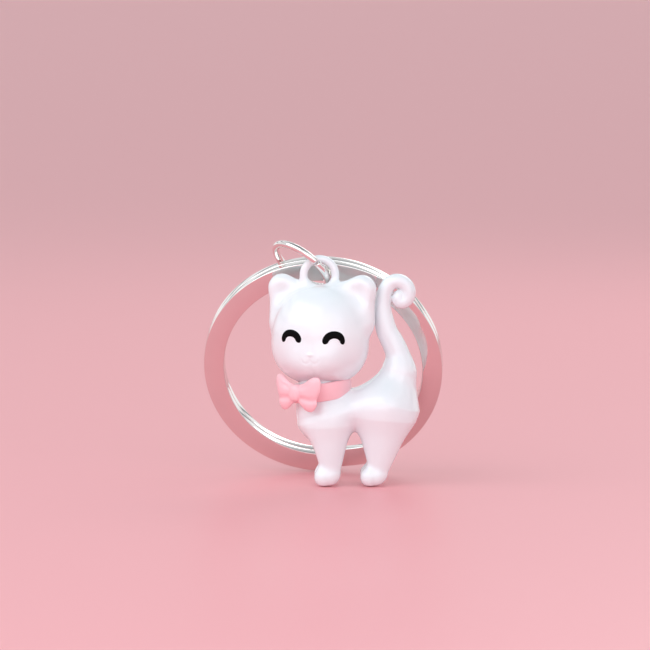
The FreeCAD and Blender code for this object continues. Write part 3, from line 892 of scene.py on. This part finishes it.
class CAT_OT_add_collar(bpy.types.Operator):
    """Adds the collar ribbon"""
    bl_idname = "cat.add_collar"
    bl_label = "Collar"

    def execute(self, context):
        add_grid("collar", collar_surface(), "pink_enamel", "cat", ("collar_ribbon",))
        return {"FINISHED"}


class CAT_OT_add_bow(bpy.types.Operator):
    """Adds the bow: two puffed wings and the knot"""
    bl_idname = "cat.add_bow"
    bl_label = "Bow"

    def execute(self, context):
        add_grid("bow_wing_left", wing_surface(-1), "pink_enamel", "cat", ("bow_left_wing",))
        add_grid("bow_wing_right", wing_surface(1), "pink_enamel", "cat", ("bow_right_wing",))
        add_grid("bow_knot_pad", knot_surface(), "pink_enamel", "cat", ("bow_knot",))
        return {"FINISHED"}


class CAT_OT_add_jump_ring(bpy.types.Operator):
    """Adds the round-wire ring between the crown loop and the split ring"""
    bl_idname = "cat.add_jump_ring"
    bl_label = "Jump ring"

    def execute(self, context):
        add_grid("jump_ring_wire", jump_ring_surface(), "bright_nickel", "jump_ring", ("jump_ring",))
        return {"FINISHED"}


class CAT_OT_add_split_ring(bpy.types.Operator):
    """Adds the two-turn split ring"""
    bl_idname = "cat.add_split_ring"
    bl_label = "Split ring"

    def execute(self, context):
        add_grid("split_ring_band", split_ring_surface(), "bright_nickel", "split_ring", ("split_ring",))
        return {"FINISHED"}


class CAT_OT_finish_pins(bpy.types.Operator):
    """Gives the hidden steel pins of the CAD frame their finish"""
    bl_idname = "cat.finish_pins"
    bl_label = "Pins"

    def execute(self, context):
        for name in ("neck_dowel", "tail_pin"):
            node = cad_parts[name]
            for index in range(len(node.material_slots)):
                node.material_slots[index].material = finish_for("pin_steel")
        return {"FINISHED"}


def soft_light(name, place_mm, aim_mm, width_mm, height_mm, watts, colour):
    """Rectangular soft box aimed at a point."""
    data = bpy.data.lights.new(name, "AREA")
    data.shape = "RECTANGLE"
    data.size = width_mm * MM
    data.size_y = height_mm * MM
    data.energy = watts
    data.color = linear(colour)[:3]
    light = bpy.data.objects.new(name, data)
    light.location = Vector(place_mm) * MM
    light.rotation_mode = "QUATERNION"
    light.rotation_quaternion = (Vector(aim_mm) - Vector(place_mm)).to_track_quat("-Z", "Y")
    bpy.context.scene.collection.objects.link(light)


LIGHT_AIM = (0, -5, 16)
LIGHTS = (
    # name, place, width and height in millimetres, watts, colour
    ("key", (-330, -230, 330), 520, 420, 0.98, "#EEFAFF"),
    ("front", (60, -420, 150), 600, 400, 0.68, "#EEFAFF"),
    ("rim", (160, 300, 260), 260, 120, 0.2, "#FFFFFF"),
)
SKY = (
    # sine of the angle above the horizon, colour: two dark bands draw lines in the metal
    (0.0, "#F6EDEF"), (0.1, "#F5F6F7"), (0.22, "#ECEFF0"), (0.27, "#5A5E64"), (0.33, "#F0F3F5"),
    (0.5, "#F0F3F5"), (0.56, "#5A5E64"), (0.63, "#F0F3F5"), (1.0, "#74787E"),
)
SKY_STRENGTH = 1.15
FLOOR_HALF = 4.0      # half the floor's side, in metres


def add_floor(scene):
    """Plain square board."""
    mesh = bpy.data.meshes.new("floor")
    corners = [(x * FLOOR_HALF, y * FLOOR_HALF, 0) for x, y in ((-1, -1), (1, -1), (1, 1), (-1, 1))]
    mesh.from_pydata(corners, [], [(0, 1, 2, 3)])
    mesh.materials.append(matt_card())
    floor = bpy.data.objects.new("floor", mesh)
    scene.collection.objects.link(floor)


def add_sky(scene):
    """Plain surroundings whose brightness goes by height alone."""
    world = bpy.data.worlds.new("studio")
    world.use_nodes = True
    tree = world.node_tree
    tree.nodes.clear()
    place = add_node(tree, "ShaderNodeTexCoord").outputs["Generated"]
    height = add_node(tree, "ShaderNodeSeparateXYZ", {"Vector": place}).outputs["Z"]
    ramp = add_node(tree, "ShaderNodeValToRGB", {"Fac": height})
    for index, (position, colour) in enumerate(SKY):
        if index > 1:
            ramp.color_ramp.elements.new(position)
        ramp.color_ramp.elements[index].position = position
        ramp.color_ramp.elements[index].color = linear(colour)
    sky = add_node(tree, "ShaderNodeBackground", {"Color": ramp.outputs[0], "Strength": SKY_STRENGTH})
    add_node(tree, "ShaderNodeOutputWorld", {"Surface": sky.outputs[0]})
    scene.world = world


class CAT_OT_add_stage(bpy.types.Operator):
    """Adds the pale floor, the soft lights, the plain surroundings and the camera"""
    bl_idname = "cat.add_stage"
    bl_label = "Stage"

    def execute(self, context):
        scene = context.scene
        add_floor(scene)
        for name, place, width, height, watts, colour in LIGHTS:
            soft_light(name, place, LIGHT_AIM, width, height, watts, colour)
        add_sky(scene)
        scene.view_settings.view_transform = "Standard"
        add_camera(scene)
        return {"FINISHED"}


AIM = (0.293, 0, 21.9)           # what the camera looks at, in the figure's millimetres
CAMERA_RISE = math.radians(5)    # camera's angle above the level
CAMERA_AWAY = 700                # camera's distance, in millimetres


def add_camera(scene):
    """Long lens, a little above the level, square on to the figure."""
    aim = Vector(FIGURE_ZERO + AIM) * MM
    data = bpy.data.cameras.new("camera")
    data.lens = 284.5
    data.sensor_width = 36
    data.clip_start, data.clip_end = 0.01, 20
    camera = bpy.data.objects.new("camera", data)
    back = Vector((0, -math.cos(CAMERA_RISE), math.sin(CAMERA_RISE)))
    camera.location = aim + back * (CAMERA_AWAY * MM)
    camera.rotation_mode = "QUATERNION"
    camera.rotation_quaternion = (-back).to_track_quat("-Z", "Y")
    scene.collection.objects.link(camera)
    scene.camera = camera


class CAT_PT_sidebar(bpy.types.Panel):
    """Lists the pieces in the 3D view's sidebar"""
    bl_idname = "CAT_PT_sidebar"
    bl_label = "Cat Key Ring"
    bl_space_type = "VIEW_3D"
    bl_region_type = "UI"
    bl_category = "Cat"

    def draw(self, context):
        for operator in OPERATORS:
            self.layout.operator(operator.bl_idname)


OPERATORS = (CAT_OT_add_body, CAT_OT_add_head, CAT_OT_add_eyes, CAT_OT_add_collar, CAT_OT_add_bow,
             CAT_OT_add_jump_ring, CAT_OT_add_split_ring, CAT_OT_finish_pins, CAT_OT_add_stage)
GROUPS = {"cat_sizes": CatSizes, "cat_rings": RingSizes, "cat_colours": Colours}


def register():
    for group in GROUPS.values():
        bpy.utils.register_class(group)
    for name, group in GROUPS.items():
        setattr(bpy.types.Scene, name, bpy.props.PointerProperty(type=group))
    for operator in OPERATORS:
        bpy.utils.register_class(operator)
    bpy.utils.register_class(CAT_PT_sidebar)


def unregister():
    bpy.utils.unregister_class(CAT_PT_sidebar)
    for operator in reversed(OPERATORS):
        bpy.utils.unregister_class(operator)
    for name, group in GROUPS.items():
        delattr(bpy.types.Scene, name)
        bpy.utils.unregister_class(group)


def main():
    register()
    for operator in OPERATORS:
        group, call = operator.bl_idname.split(".")
        getattr(getattr(bpy.ops, group), call)()


if __name__ == "__main__":
    main()
